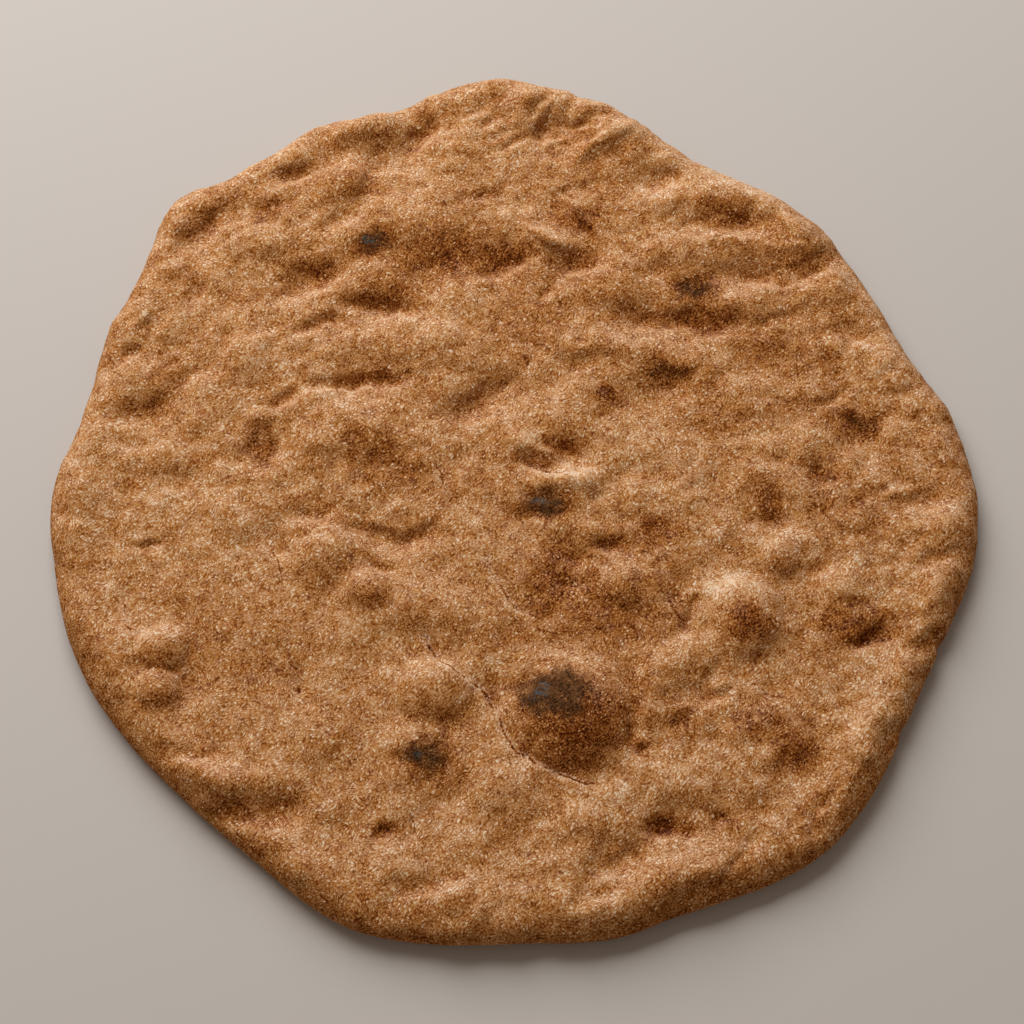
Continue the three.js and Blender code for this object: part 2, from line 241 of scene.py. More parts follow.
# The lean towards the key light and the rise of the relief are painted light; the pale spots partly painted
# highlight
TONE_SHARES = {
    "broad": 0.07, "close": 0.18, "small": 0.46, "large": 0.5, "gaps": -0.24, "pale": 0.2,
    "painted_light_lean": 0.18, "painted_relief_light": 0.14, "border": 0.09, "split": -0.46,
}
TOAST_TONE = -0.38  # what full browning adds to it, the painted shade on the rim's side included
TOAST_RAGGED = 0.35  # how uneven the browning is

# Paleness of the meal flecks
MEAL_TONE = 0.53  # of the darkest fleck
MEAL_TONE_SPREAD = 0.42  # from the darkest fleck to the palest
MEAL_TONE_SKEW = 1.6  # how much more common dark flecks are than pale ones

# Greying of the skin: mealy dust, and painted light on slopes that lean towards the key light
GREYING_SATURATION = 0.72
GREYING_VALUE = 1.08
DUST_MEALY = 0.25  # in the mealy blotches
DUST_PAINTED_LIGHT = 0.6  # painted light: greying where the skin leans to the far side, towards the key light
DUST_BORDER = 0.45  # beside a crack

# Charred skin and its ash
SOOT_DARK = (0.026, 0.012, 0.005, 1)
SOOT_PALE = (0.14, 0.058, 0.02, 1)
SOOT_RANGE = (0.25, 0.95)  # paleness of the skin from which dark soot turns pale
CHAR_RAGGED = 0.8  # how uneven the char is
ASH_DARK = (0.030, 0.031, 0.030, 1)
ASH_PALE = (0.105, 0.112, 0.108, 1)
ASH_RANGE = (0.3, 0.9)  # strength at which ash starts and at which it is thickest
ASH_MOST = 0.8  # how much the thickest ash hides
ASH_EVEN = 0.9  # even share of the ash
ASH_RAGGED = 2.5  # how uneven the ash is

# Finish of the surfaces
SKIN_ROUGHNESS = (0.95, 0.85)  # between the grains and on them
MEAL_ROUGHNESS = (0.9, 0.8)  # of the darkest fleck and the palest
FLOOR_ROUGHNESS = 0.9
SHEEN = 0.03  # specular level of the skin and the flecks
GRAIN_BUMP = 0.3  # strength of the grain's bump

# Scatter of the meal flecks
FLECK_SUNK = 0.25  # share of a fleck's thickness that is sunk in the skin
FLECK_LOWEST = -0.2  # upward part of the normal, below which the skin has no flecks
FLOW_CELL = 22  # stretches in mm over which the flecks turn together
FLOW_SWING = 1.6  # how far these turn from the grain, in radians
FLECK_SPREAD = 0.45  # how far single flecks differ from that, in radians
FLECK_SKEW = 1.6  # how much more common short flecks are than long ones
FLECK_WIDTHS = (0.65, 1.3)  # narrowest and widest, as shares of a middling fleck
FLECK_THICKNESSES = (0.7, 1.25)  # thinnest and thickest, as shares of a middling fleck

FLOOR_GAP = 0.1 * MM  # keeps the floor clear of the bread's underside
SENSOR = 36  # width of the camera's sensor in mm


class CrustSettings(bpy.types.PropertyGroup):
    """Sizes and colours of the crust"""

    levels: bpy.props.IntProperty(
        name="Subdivisions", description="Times that the CAD mesh is smoothed", default=2, min=1, max=2
    )
    crumple_height: bpy.props.FloatProperty(
        name="Wrinkle height", description="Height of the crumpled skin's wrinkles",
        default=0.6 * MM, unit="LENGTH",
    )
    sole_dimple: bpy.props.FloatProperty(
        name="Sole dimple", description="Depth of the dimples in the baked underside",
        default=0.5 * MM, unit="LENGTH",
    )
    grain_height: bpy.props.FloatProperty(
        name="Grain height", description="Height of the meal's grain in the skin",
        default=0.1 * MM, unit="LENGTH",
    )
    scorched: bpy.props.FloatVectorProperty(
        name="Scorched", description="Darkest baked skin", subtype="COLOR",
        default=(0.068, 0.013, 0.002), min=0, max=1,
    )
    brown: bpy.props.FloatVectorProperty(
        name="Brown", description="Well baked skin", subtype="COLOR",
        default=(0.245, 0.067, 0.010), min=0, max=1,
    )
    gold: bpy.props.FloatVectorProperty(
        name="Gold", description="Lightly baked skin", subtype="COLOR",
        default=(0.47, 0.185, 0.047), min=0, max=1,
    )
    tan: bpy.props.FloatVectorProperty(
        name="Tan", description="Darker meal", subtype="COLOR",
        default=(0.65, 0.35, 0.150), min=0, max=1,
    )
    pale: bpy.props.FloatVectorProperty(
        name="Pale", description="Palest meal", subtype="COLOR",
        default=(0.85, 0.65, 0.455), min=0, max=1,
    )


class MealSettings(bpy.types.PropertyGroup):
    """Sizes and colours of the coarse meal flecks"""

    count: bpy.props.IntProperty(
        name="Flecks", description="How many flecks are scattered", default=46000, min=100, max=49000
    )
    seed: bpy.props.IntProperty(name="Seed", description="Seed of the scatter", default=11)
    shortest: bpy.props.FloatProperty(
        name="Shortest", description="Length of the smallest fleck", default=0.45 * MM, unit="LENGTH"
    )
    longest: bpy.props.FloatProperty(
        name="Longest", description="Length of the largest fleck", default=1.3 * MM, unit="LENGTH"
    )
    width: bpy.props.FloatProperty(
        name="Width", description="Width of a middling fleck", default=0.3 * MM, unit="LENGTH"
    )
    thickness: bpy.props.FloatProperty(
        name="Thickness", description="Thickness of a middling fleck", default=0.09 * MM, unit="LENGTH"
    )


class StageSettings(bpy.types.PropertyGroup):
    """Floor, light and camera"""

    floor_size: bpy.props.FloatProperty(
        name="Floor size", description="Half the floor's side", default=3.0, unit="LENGTH"
    )
    floor_colour: bpy.props.FloatVectorProperty(
        name="Floor", description="Colour of the floor", subtype="COLOR",
        default=(0.60, 0.555, 0.515), min=0, max=1,
    )
    key_power: bpy.props.FloatProperty(
        name="Key power", description="Power of the soft key light", default=16.7, unit="POWER"
    )
    key_size: bpy.props.FloatProperty(
        name="Key size", description="Side of the soft key light", default=1.0, unit="LENGTH"
    )
    key_distance: bpy.props.FloatProperty(
        name="Key distance", description="Distance of the key light", default=1.2, unit="LENGTH"
    )
    key_turn: bpy.props.FloatProperty(
        name="Key turn", description="Direction of the key light, from +X",
        default=math.radians(114), unit="ROTATION",
    )
    key_rise: bpy.props.FloatProperty(
        name="Key rise", description="Height of the key light above the floor, as an angle",
        default=math.radians(42), unit="ROTATION",
    )
    sky: bpy.props.FloatProperty(
        name="Sky", description="Strength of the light from all round", default=0.19
    )
    sky_colour: bpy.props.FloatVectorProperty(
        name="Sky colour", description="Colour of the light from all round", subtype="COLOR",
        default=(1.0, 0.86, 0.72), min=0, max=1,
    )
    lens: bpy.props.FloatProperty(name="Lens", description="Focal length in mm", default=70)
    camera_rise: bpy.props.FloatProperty(
        name="Camera rise", description="Height of the camera above the floor, as an angle",
        default=math.radians(65), unit="ROTATION",
    )
    camera_distance: bpy.props.FloatProperty(
        name="Camera distance", description="From the camera to its aim", default=0.55728, unit="LENGTH"
    )
    camera_aim: bpy.props.FloatVectorProperty(
        name="Camera aim", description="Point that the camera looks at", subtype="TRANSLATION",
        default=(-0.000554, -0.013587, 0.005),
    )


def turned(points, x, y, turn):
    """Each point's distance along and across a direction through a middle, seen from above."""
    cosine = math.cos(math.radians(turn))
    sine = math.sin(math.radians(turn))
    off_x = points[:, 0] - x
    off_y = points[:, 1] - y
    return off_x * cosine + off_y * sine, off_y * cosine - off_x * sine


def oval_share(points, x, y, half_length, half_width, turn):
    """How far inside an oval each point is: 1 in its middle, 0 at its border and beyond."""
    along, across = turned(points, x, y, turn)
    return np.clip(1 - (along / half_length) ** 2 - (across / half_width) ** 2, 0, 1)


def crease_share(points, x, y, half_length, far_width, near_width, turn):
    """How far down a valley each point is: 1 along its bottom, 0 past its flanks."""
    along, across = turned(points, x, y, turn)
    flank = np.where(across > 0, across / far_width, -across / near_width)
    return np.clip(1 - flank ** 2, 0, 1) ** 2 * np.clip(1 - (along / half_length) ** 2, 0, 1)


def noise_at(points, cell, layer, stretch=1, turn=0):
    """Smooth noise around 0 at points in mm, with cells of that size drawn out along a direction."""
    along, across = turned(points, 0, 0, turn)
    height = points[:, 2] / cell + layer
    return np.array([noise.noise(spot) for spot in zip(along / (cell * stretch), across / cell, height)])


def lumps(points, cell, layer, stretch, turn):
    """Rounded lumps from 0 to about 1, with narrow valleys between them, at points in mm."""
    return 2 * np.hypot(noise_at(points, cell, layer, stretch, turn), LUMP_SOFTNESS)


def wandering(points, gain=1):
    """Points shifted a little, so that lines and outlines drawn through them wander."""
    moved = points.copy()
    for cell, shift in WANDER:
        for axis, layer in enumerate(WANDER_LAYERS):
            moved[:, axis] += gain * shift * noise_at(points, cell, layer)
    return moved


def crack_lines(points):
    """Signed distance to the nearest crack, how much of a crack is there, and its depth."""
    nearest = np.full(len(points), CRACK_REACH)
    gap = np.full(len(points), CRACK_REACH)
    share = np.zeros(len(points))
    deep = np.zeros(len(points))
    for depth, corners in CRACKS:
        ends = np.array([corners[0], corners[-1]], float)
        to_end = np.min(np.linalg.norm(points[:, None, :2] - ends, axis=2), axis=1)
        for start, end in zip(corners, corners[1:]):
            origin = np.array(start, float)
            step = np.array(end, float) - origin
            away = points[:, :2] - origin
            along = np.clip((away @ step) / (step @ step), 0, 1)
            offset = away - along[:, None] * step
            distance = np.hypot(offset[:, 0], offset[:, 1])
            side = np.sign(step[0] * away[:, 1] - step[1] * away[:, 0])
            closer = distance < nearest
            nearest = np.where(closer, distance, nearest)
            gap = np.where(closer, side * distance, gap)
            share = np.where(closer, np.clip(to_end / CRACK_FADE, 0, 1), share)
            deep = np.where(closer, depth, deep)
    # A crack fades out over the outer half of its reach
    return gap, share * np.clip(2 - 2 * nearest / CRACK_REACH, 0, 1), deep


def spots(points, table):
    """Strongest of the soft oval spots at each point."""
    strongest = np.zeros(len(points))
    for x, y, half_length, half_width, strength in table:
        share = oval_share(points, x, y, SPOT_FADE * half_length, SPOT_FADE * half_width, 0)
        strongest = np.maximum(strongest, strength * share ** SPOT_SHOULDER)
    return strongest


def dome_toast(points):
    """Even browning of the blisters' skin."""
    rounder = wandering(points, DOME_WANDER)
    return DOME_TOAST * sum(oval_share(rounder, *place) ** DOME_SHOULDER for *place, _ in DOMES)


def edge_toast_and_shade(points, normals):
    """Browning of the rim's side and the sole, which grows towards the hot floor; on the rim's side it is
    partly painted shade near the floor.
    """
    lowness = np.clip((EDGE_TOAST_AND_SHADE_TOP - points[:, 2]) / EDGE_TOAST_AND_SHADE_FADE, 0, 1)
    return EDGE_TOAST_AND_SHADE * lowness * np.clip(EDGE_TOAST_AND_SHADE_TURN * (1 - normals[:, 2]), 0, 1)


def lean_towards_key_light(normals):
    """How far the skin leans to the far side, towards the key light; the materials paint it paler there and
    browner where it faces near, as painted light and shade.
    """
    return normals[:, 1] * np.clip(normals[:, 2], 0, 1)


def sole_share(normals):
    """How far each point belongs to the sole: 1 where the skin faces the floor."""
    return np.clip((-normals[:, 2] - SOLE_START) / (SOLE_FULL - SOLE_START), 0, 1)


def sole_dimples(points):
    """Height of the sole's dimples, 0 where it lies flat, at points in mm."""
    depth = sum(share * noise_at(points, cell, layer) for cell, share, layer in DIMPLES)
    return np.clip(depth, 0, None)


def crust_relief(points, normals, crumple_height):
    """Rise of the fine relief, in mm, at points of the crust in mm."""
    moved = wandering(points)
    rise = np.zeros(len(points))
    for *place, depth in CREASES:
        rise -= depth * crease_share(moved, *place)
    for *place, height in RIDGES:
        rise += height * oval_share(moved, *place) ** RIDGE_SHOULDER
    for *place, wrinkle_turn in CRUMPLES:
        wrinkles = lumps(moved, CRUMPLE_CELL, CRUMPLE_LAYER, CRUMPLE_STRETCH, wrinkle_turn)
        rise += crumple_height * oval_share(points, *place) * wrinkles
    craggy = EDGE_CRAGS + (1 - EDGE_CRAGS) * np.clip(normals[:, 2], 0, 1)
    craggy *= 1 - CALM_SHARE * oval_share(points, *CALM)
    rounder = wandering(points, DOME_WANDER)
    for *place, height in DOMES:
        inside = oval_share(rounder, *place) ** DOME_SHOULDER
        rise += height * inside
        craggy *= 1 - DOME_CALM * inside
    for layer, (cell, height, stretch, turn) in enumerate(CRAGS):
        rise += craggy * height * lumps(points, cell, CRAG_LAYER_STEP * layer, stretch, turn)
    return rise


def mesh_points(mesh):
    """Vertex places of a mesh in mm."""
    places = np.empty(3 * len(mesh.vertices))
    mesh.vertices.foreach_get("co", places)
    return places.reshape(-1, 3) / MM


def mesh_normals(mesh):
    """Vertex normals of a mesh."""
    normals = np.empty(3 * len(mesh.vertices))
    mesh.vertex_normals.foreach_get("vector", normals)
    return normals.reshape(-1, 3)


def set_attribute(mesh, name, values):
    """Stores one number for each vertex."""
    attribute = mesh.attributes.new(name, "FLOAT", "POINT")
    attribute.data.foreach_set("value", values.astype(np.float32))


def add_piece(name, mesh, material):
    """Links a finished mesh as an object with its material."""
    mesh.materials.clear()
    mesh.materials.append(material)
    piece = bpy.data.objects.new(name, mesh)
    bpy.context.scene.collection.objects.link(piece)
    return piece


def smoothed_node(levels):
    """Copy of the bread's CAD mesh, merged, squared off and smoothed."""
    grown = bmesh.new()
    grown.from_mesh(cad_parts[NODE].data)
    bmesh.ops.remove_doubles(grown, verts=grown.verts, dist=MERGE_DISTANCE)
    above = [face for face in grown.faces if face.normal.z > FLAT_SOLE]
    bmesh.ops.join_triangles(
        grown, faces=above, angle_face_threshold=SQUARING_ANGLE, angle_shape_threshold=SQUARING_ANGLE
    )
    rough = bpy.data.meshes.new("rough_crust")
    grown.to_mesh(rough)
    grown.free()
    carrier = bpy.data.objects.new("rough_crust", rough)
    bpy.context.scene.collection.objects.link(carrier)
    smoothing = carrier.modifiers.new("Smoothing", "SUBSURF")
    smoothing.levels = levels
    smoothing.render_levels = levels
    depsgraph = bpy.context.evaluated_depsgraph_get()
    mesh = bpy.data.meshes.new_from_object(carrier.evaluated_get(depsgraph))
    bpy.data.objects.remove(carrier)
    bpy.data.meshes.remove(rough)
    mesh.name = CRUST_PIECE
    return mesh


def add_node(tree, kind, inputs=None, **settings):
    """Adds a shader node, sets it up and feeds its inputs from values or from other sockets."""
    made = tree.nodes.new(kind)
    for name, value in settings.items():
        setattr(made, name, value)
    for key, value in (inputs or {}).items():
        if isinstance(value, bpy.types.NodeSocket):
            tree.links.new(value, made.inputs[key])
        else:
            made.inputs[key].default_value = value
    return made


def calculate(tree, operation, first, second):
    """Result of one sum on two values."""
    return add_node(tree, "ShaderNodeMath", {0: first, 1: second}, operation=operation).outputs[0]


def mix_colours(tree, share, first, second):
    """Two colours mixed by a share."""
    made = add_node(tree, "ShaderNodeMix", {0: share, 6: first, 7: second}, data_type="RGBA")
    return made.outputs[2]


def ramp(tree, value, low, high, start=0.0, end=1.0):
    """Value that goes smoothly from start to end while the input goes from low to high."""
    made = add_node(
        tree, "ShaderNodeMapRange",
        {"Value": value, "From Min": low, "From Max": high, "To Min": start, "To Max": end},
        interpolation_type="SMOOTHSTEP",
    )
    return made.outputs["Result"]


def mottle(tree, place, cell, detail):
    """Noise from 0 to 1 whose cells are that many mm across."""
    made = add_node(
        tree, "ShaderNodeTexNoise", {"Vector": place, "Scale": 1 / (cell * MM), "Detail": detail}
    )
    return made.outputs["Fac"]


def attribute(tree, name):
    """Number that the mesh stores for each vertex."""
    return add_node(tree, "ShaderNodeAttribute", attribute_name=name).outputs["Fac"]


def opaque(colour):
    """Colour with full opacity."""
    return (*colour, 1.0)


def new_material(name):
    """Plain material, its node tree and its Principled shader."""
    material = bpy.data.materials.new(name)
    material.use_nodes = True
    shader = material.node_tree.nodes["Principled BSDF"]
    return material, material.node_tree, shader


def scaled(tree, value, factor, offset=0.0):
    """Value times a factor, plus an offset."""
    made = add_node(tree, "ShaderNodeMath", {0: value, 1: factor, 2: offset}, operation="MULTIPLY_ADD")
    return made.outputs[0]


def unevenness(tree, place, cell, detail):
    """Noise from -1 to 1 whose cells are that many mm across."""
    return scaled(tree, mottle(tree, place, cell, detail), 2.0, -1.0)


def oven_browning(colours):
    """Node group that turns a grain's paleness, and how it was baked, into its colour; painted light and
    shade come in with these inputs.
    """
    group = bpy.data.node_groups.new(BROWNING, "ShaderNodeTree")
    for name in ("Tone", "Toast", "Char", "Ash", "Dust"):
        group.interface.new_socket(name, in_out="INPUT", socket_type="NodeSocketFloat")
    group.interface.new_socket("Place", in_out="INPUT", socket_type="NodeSocketVector")
    group.interface.new_socket("Color", in_out="OUTPUT", socket_type="NodeSocketColor")
    given = group.nodes.new("NodeGroupInput").outputs
    result = group.nodes.new("NodeGroupOutput").inputs
    ragged = unevenness(group, given["Place"], RAGGED_CELL, 4.0)
    uneven_toast_and_edge_shade = calculate(group, "MULTIPLY", given["Toast"], scaled(group, ragged, TOAST_RAGGED, 1.0))
    tone = scaled(group, uneven_toast_and_edge_shade, TOAST_TONE, given["Tone"])
    baked = add_node(group, "ShaderNodeValToRGB", {"Fac": tone})
    stops = baked.color_ramp.elements
    stops[0].color = opaque(colours[0])
    stops[1].color = opaque(colours[-1])
    for step, colour in enumerate(colours[1:-1], start=1):
        stops.new(step / (len(colours) - 1)).color = opaque(colour)
    greyed = add_node(
        group, "ShaderNodeHueSaturation",
        {"Saturation": GREYING_SATURATION, "Value": GREYING_VALUE, "Color": baked.outputs["Color"]},
    )
    dusted = mix_colours(group, given["Dust"], baked.outputs["Color"], greyed.outputs["Color"])
    uneven_char = calculate(group, "MULTIPLY", given["Char"], scaled(group, ragged, CHAR_RAGGED, 1.0))
    soot = mix_colours(group, ramp(group, given["Tone"], *SOOT_RANGE), SOOT_DARK, SOOT_PALE)
    burnt = mix_colours(group, ramp(group, uneven_char, 0.0, 1.0), dusted, soot)
    fine = unevenness(group, given["Place"], ASH_CELL, 1.0)
    uneven_ash = calculate(group, "MULTIPLY", given["Ash"], scaled(group, fine, ASH_RAGGED, ASH_EVEN))
    ashen = mix_colours(group, given["Tone"], ASH_DARK, ASH_PALE)
    final = mix_colours(group, ramp(group, uneven_ash, *ASH_RANGE, 0.0, ASH_MOST), burnt, ashen)
    group.links.new(final, result["Color"])
    return group


def place_browning(tree, settings, **inputs):
    """The browning group, made once, placed in a material."""
    group = bpy.data.node_groups.get(BROWNING)
    if group is None:
        colours = (settings.scorched, settings.brown, settings.gold, settings.tan, settings.pale)
        group = oven_browning(colours)
    placed = add_node(tree, "ShaderNodeGroup", node_tree=group)
    for name, value in inputs.items():
        tree.links.new(value, placed.inputs[name])
    return placed.outputs["Color"]


def grains(tree, place, cell):
    """Grains that many mm apart: how far off the nearest one's middle is, and a number drawn for it."""
    made = add_node(tree, "ShaderNodeTexVoronoi", {"Vector": place, "Scale": 1 / (cell * MM)})
    drawn = add_node(tree, "ShaderNodeSeparateColor", {"Color": made.outputs["Color"]})
    return made.outputs["Distance"], drawn.outputs["Red"]


def crack_marks(tree, place):
    """Dark dashes along the line of each crack, and the mealy border on both its sides."""
    wiggle = scaled(tree, unevenness(tree, place, CRACK_WIGGLE_CELL, 2.0), CRACK_WIGGLE)
    off_line = add_node(
        tree, "ShaderNodeMath", {0: calculate(tree, "ADD", attribute(tree, "gap"), wiggle)},
        operation="ABSOLUTE",
    ).outputs[0]
    share = attribute(tree, "crack")
    dashes = ramp(tree, mottle(tree, place, CRACK_DASH, 1.0), *DASH_RANGE)
    split = calculate(tree, "MULTIPLY", ramp(tree, off_line, *SPLIT_EDGE), share)
    border = calculate(tree, "MULTIPLY", ramp(tree, off_line, *BORDER_EDGE), share)
    return calculate(tree, "MULTIPLY", split, dashes), border


def crust_material(settings):
    """Baked rye skin: short pale fibres of meal on a browned ground, toasted and charred in spots, with
    painted light and shade from lean, relief and rim.
    """
    material, tree, shader = new_material("rye_crust")
    place = add_node(tree, "ShaderNodeTexCoord").outputs["Object"]
    bend = add_node(
        tree, "ShaderNodeTexNoise", {"Vector": place, "Scale": 1 / (BEND_CELL * MM), "Detail": 2.0}
    )
    bent = add_node(
        tree, "ShaderNodeVectorMath", {0: bend.outputs["Color"], 1: 3 * (BEND * MM,), 2: place},
        operation="MULTIPLY_ADD",
    ).outputs[0]
    drawn_out = add_node(
        tree, "ShaderNodeMapping",
        {"Vector": bent, "Rotation": (0, 0, math.radians(GRAIN_TURN)), "Scale": (GRAIN_STRETCH, 1, 1)},
        vector_type="TEXTURE",
    ).outputs[0]
    small_off, small_draw = grains(tree, drawn_out, SMALL_GRAIN)
    large_off, large_draw = grains(tree, drawn_out, LARGE_GRAIN)
    small = calculate(tree, "MULTIPLY", ramp(tree, small_off, *SMALL_GRAIN_EDGE), small_draw)
    large = calculate(
        tree, "MULTIPLY", ramp(tree, large_off, *LARGE_GRAIN_EDGE), ramp(tree, large_draw, *LARGE_GRAIN_DRAW)
    )
    split, border = crack_marks(tree, place)
    causes = {
        "broad": ramp(tree, mottle(tree, place, BROAD_BLOTCH, 3.0), *BROAD_RANGE),
        "close": ramp(tree, mottle(tree, place, CLOSE_BLOTCH, 3.0), *CLOSE_RANGE),
        "small": small,
        "large": large,
        "gaps": ramp(tree, small_off, *GRAIN_GAP),
        # Pale spots, partly paler skin and partly painted highlight on the lit sides of blisters and ridges
        "pale": attribute(tree, "pale"),
        # Painted light: slopes that lean towards the key light are paler, near-facing ones browner
        "painted_light_lean": attribute(tree, "painted_light_lean"),
        # Painted shade and highlight: hollows of the fine relief darker, its tops paler
        "painted_relief_light": ramp(tree, attribute(tree, "rise"), *RELIEF_PAINTED_LIGHT_RANGE),
        "border": border,
        "split": split,
    }
    tone = TONE_BASE
    for cause, share in TONE_SHARES.items():
        tone = scaled(tree, causes[cause], share, tone)
    mealy = ramp(tree, mottle(tree, place, MEALY_BLOTCH, 4.0), *MEALY_RANGE)
    # Greying from mealy blotches and beside cracks, plus painted light on slopes that lean towards the key
    # light
    greying = scaled(tree, mealy, DUST_MEALY, scaled(tree, causes["painted_light_lean"], DUST_PAINTED_LIGHT))
    greying = calculate(tree, "MAXIMUM", greying, scaled(tree, border, DUST_BORDER))
    colour = place_browning(
        tree, settings, Tone=tone, Toast=attribute(tree, "toast_and_edge_shade"), Char=attribute(tree, "char"),
        Ash=attribute(tree, "ash"), Dust=calculate(tree, "SUBTRACT", greying, split), Place=place,
    )
    tree.links.new(colour, shader.inputs["Base Color"])
    tree.links.new(ramp(tree, small, 0, 1, *SKIN_ROUGHNESS), shader.inputs["Roughness"])
    shader.inputs["Specular IOR Level"].default_value = SHEEN
    height = calculate(tree, "SUBTRACT", calculate(tree, "ADD", small, large), split)
    bump = add_node(
        tree, "ShaderNodeBump",
        {"Strength": GRAIN_BUMP, "Distance": settings.grain_height, "Height": height},
    )
    tree.links.new(bump.outputs["Normal"], shader.inputs["Normal"])
    return material


def meal_material(settings):
    """Flecks of coarse meal, each with its own tint, browned with the crust that holds them, and painted
    paler where they lean towards the key light.
    """
    material, tree, shader = new_material("coarse_meal")
    place = add_node(tree, "ShaderNodeTexCoord").outputs["Object"]
    tint = attribute(tree, "tint")
    skewed = calculate(tree, "POWER", tint, MEAL_TONE_SKEW)
    tone = scaled(tree, skewed, MEAL_TONE_SPREAD, MEAL_TONE)
    # Painted light: flecks on slopes that lean towards the key light are paler
    tone = scaled(tree, attribute(tree, "painted_light_lean"), TONE_SHARES["painted_light_lean"], tone)
    colour = place_browning(
        tree, settings, Tone=tone, Toast=attribute(tree, "toast_and_edge_shade"), Char=attribute(tree, "char"),
        Ash=attribute(tree, "ash"), Dust=attribute(tree, "greying"), Place=place,
    )
    tree.links.new(colour, shader.inputs["Base Color"])
    tree.links.new(ramp(tree, tint, 0, 1, *MEAL_ROUGHNESS), shader.inputs["Roughness"])
    shader.inputs["Specular IOR Level"].default_value = SHEEN
    return material


def floor_material(settings):
    """Plain pale floor."""
    material, _, shader = new_material("plain_floor")
    shader.inputs["Base Color"].default_value = opaque(settings.floor_colour)
    shader.inputs["Roughness"].default_value = FLOOR_ROUGHNESS
    return material


class FLATBREAD_OT_crust(bpy.types.Operator):
    """Bakes the crust over the CAD solid"""

    bl_idname = "flatbread.crust"
    bl_label = "Crust"
    bl_options = {"REGISTER", "UNDO"}

    def execute(self, context):
        settings = context.scene.flatbread_crust
        mesh = smoothed_node(settings.levels)
        points = mesh_points(mesh)
        normals = mesh_normals(mesh)
        gap, crack, deep = crack_lines(wandering(points, CRACK_WANDER))
        rise = crust_relief(points, normals, settings.crumple_height / MM)
        rise -= deep * crack * np.exp(-((gap / CRACK_WIDTH) ** 2))
        rise += CRACK_STEP * crack * np.where(gap < 0, np.exp(gap / CRACK_STEP_FADE), 0)
        sole = sole_share(normals)
        moved = points + (rise * (1 - sole))[:, None] * normals
        moved[:, 2] += sole * sole_dimples(points) * settings.sole_dimple / MM
        moved[:, 2] = np.maximum(moved[:, 2], 0)
        mesh.vertices.foreach_set("co", (moved * MM).ravel())
        outlines = wandering(points, SPOT_WANDER)
        # The toast holds painted shade too: the rim's side darkens towards the floor
        toast_and_edge_shade = np.maximum(spots(outlines, TOASTED), edge_toast_and_shade(points, normals))
        set_attribute(mesh, "toast_and_edge_shade", toast_and_edge_shade + dome_toast(points))
        set_attribute(mesh, "char", spots(outlines, CHARRED) * (1 - sole))
        set_attribute(mesh, "ash", spots(outlines, ASHED) * (1 - sole))
        # Pale spots, partly paler skin and partly painted highlight
        set_attribute(mesh, "pale", spots(outlines, PALE_AND_HIGHLIGHT_SPOTS) * (1 - sole))
        set_attribute(mesh, "gap", gap)
        set_attribute(mesh, "crack", crack * deep / CRACK_FULL * (1 - sole))
        set_attribute(mesh, "rise", rise)
        mesh.shade_smooth()
        mesh.update()
        # Painted light: how far each vertex leans towards the key light, for the material
        set_attribute(mesh, "painted_light_lean", lean_towards_key_light(mesh_normals(mesh)))
        piece = add_piece(CRUST_PIECE, mesh, crust_material(settings))
        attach(piece, BODY)
        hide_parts(NODE)
        return {"FINISHED"}


def fleck_form():
    """Points and faces of one fleck, a flat three-sided grain of unit sizes whose foot is sunk."""
    grain = bmesh.new()
    bmesh.ops.create_cone(grain, cap_ends=True, segments=3, radius1=1, radius2=0, depth=1)
    bmesh.ops.translate(grain, verts=grain.verts, vec=(0, 0, 0.5 - FLECK_SUNK))
    grain.verts.index_update()
    points = np.array([vert.co for vert in grain.verts])
    faces = np.array([[vert.index for vert in face.verts] for face in grain.faces])
    grain.free()
    return points, faces


def scatter(mesh, count, draw):
    """Random places on the upper skin and the rim, in mm, with the skin's normal at each."""
    mesh.calc_loop_triangles()
    corners = np.empty(3 * len(mesh.loop_triangles), int)
    mesh.loop_triangles.foreach_get("vertices", corners)
    places = mesh_points(mesh)[corners.reshape(-1, 3)]
    sides = np.cross(places[:, 1] - places[:, 0], places[:, 2] - places[:, 0])
    areas = np.linalg.norm(sides, axis=1)
    upward = np.where(sides[:, 2] > FLECK_LOWEST * areas, areas, 0)
    chosen = draw.choice(len(areas), count, p=upward / upward.sum())
    first, second = draw.random((2, count))
    folded = first + second > 1
    first = np.where(folded, 1 - first, first)
    second = np.where(folded, 1 - second, second)
    corner = places[chosen]
    spots_on = (
        corner[:, 0]
        + first[:, None] * (corner[:, 1] - corner[:, 0])
        + second[:, None] * (corner[:, 2] - corner[:, 0])
    )
    return spots_on, sides[chosen] / areas[chosen][:, None]


def fleck_axes(points, normals, draw):
    """Length and width directions of flecks that lie flat on the skin and follow its grain."""
    flow = math.radians(GRAIN_TURN) + FLOW_SWING * noise_at(points, FLOW_CELL, FLOW_LAYER)
    turn = flow + draw.normal(0, FLECK_SPREAD, len(points))
    heading = np.stack([np.cos(turn), np.sin(turn), np.zeros(len(points))], axis=1)
    heading -= np.sum(heading * normals, axis=1)[:, None] * normals
    heading /= np.linalg.norm(heading, axis=1)[:, None]
    return heading, np.cross(normals, heading)


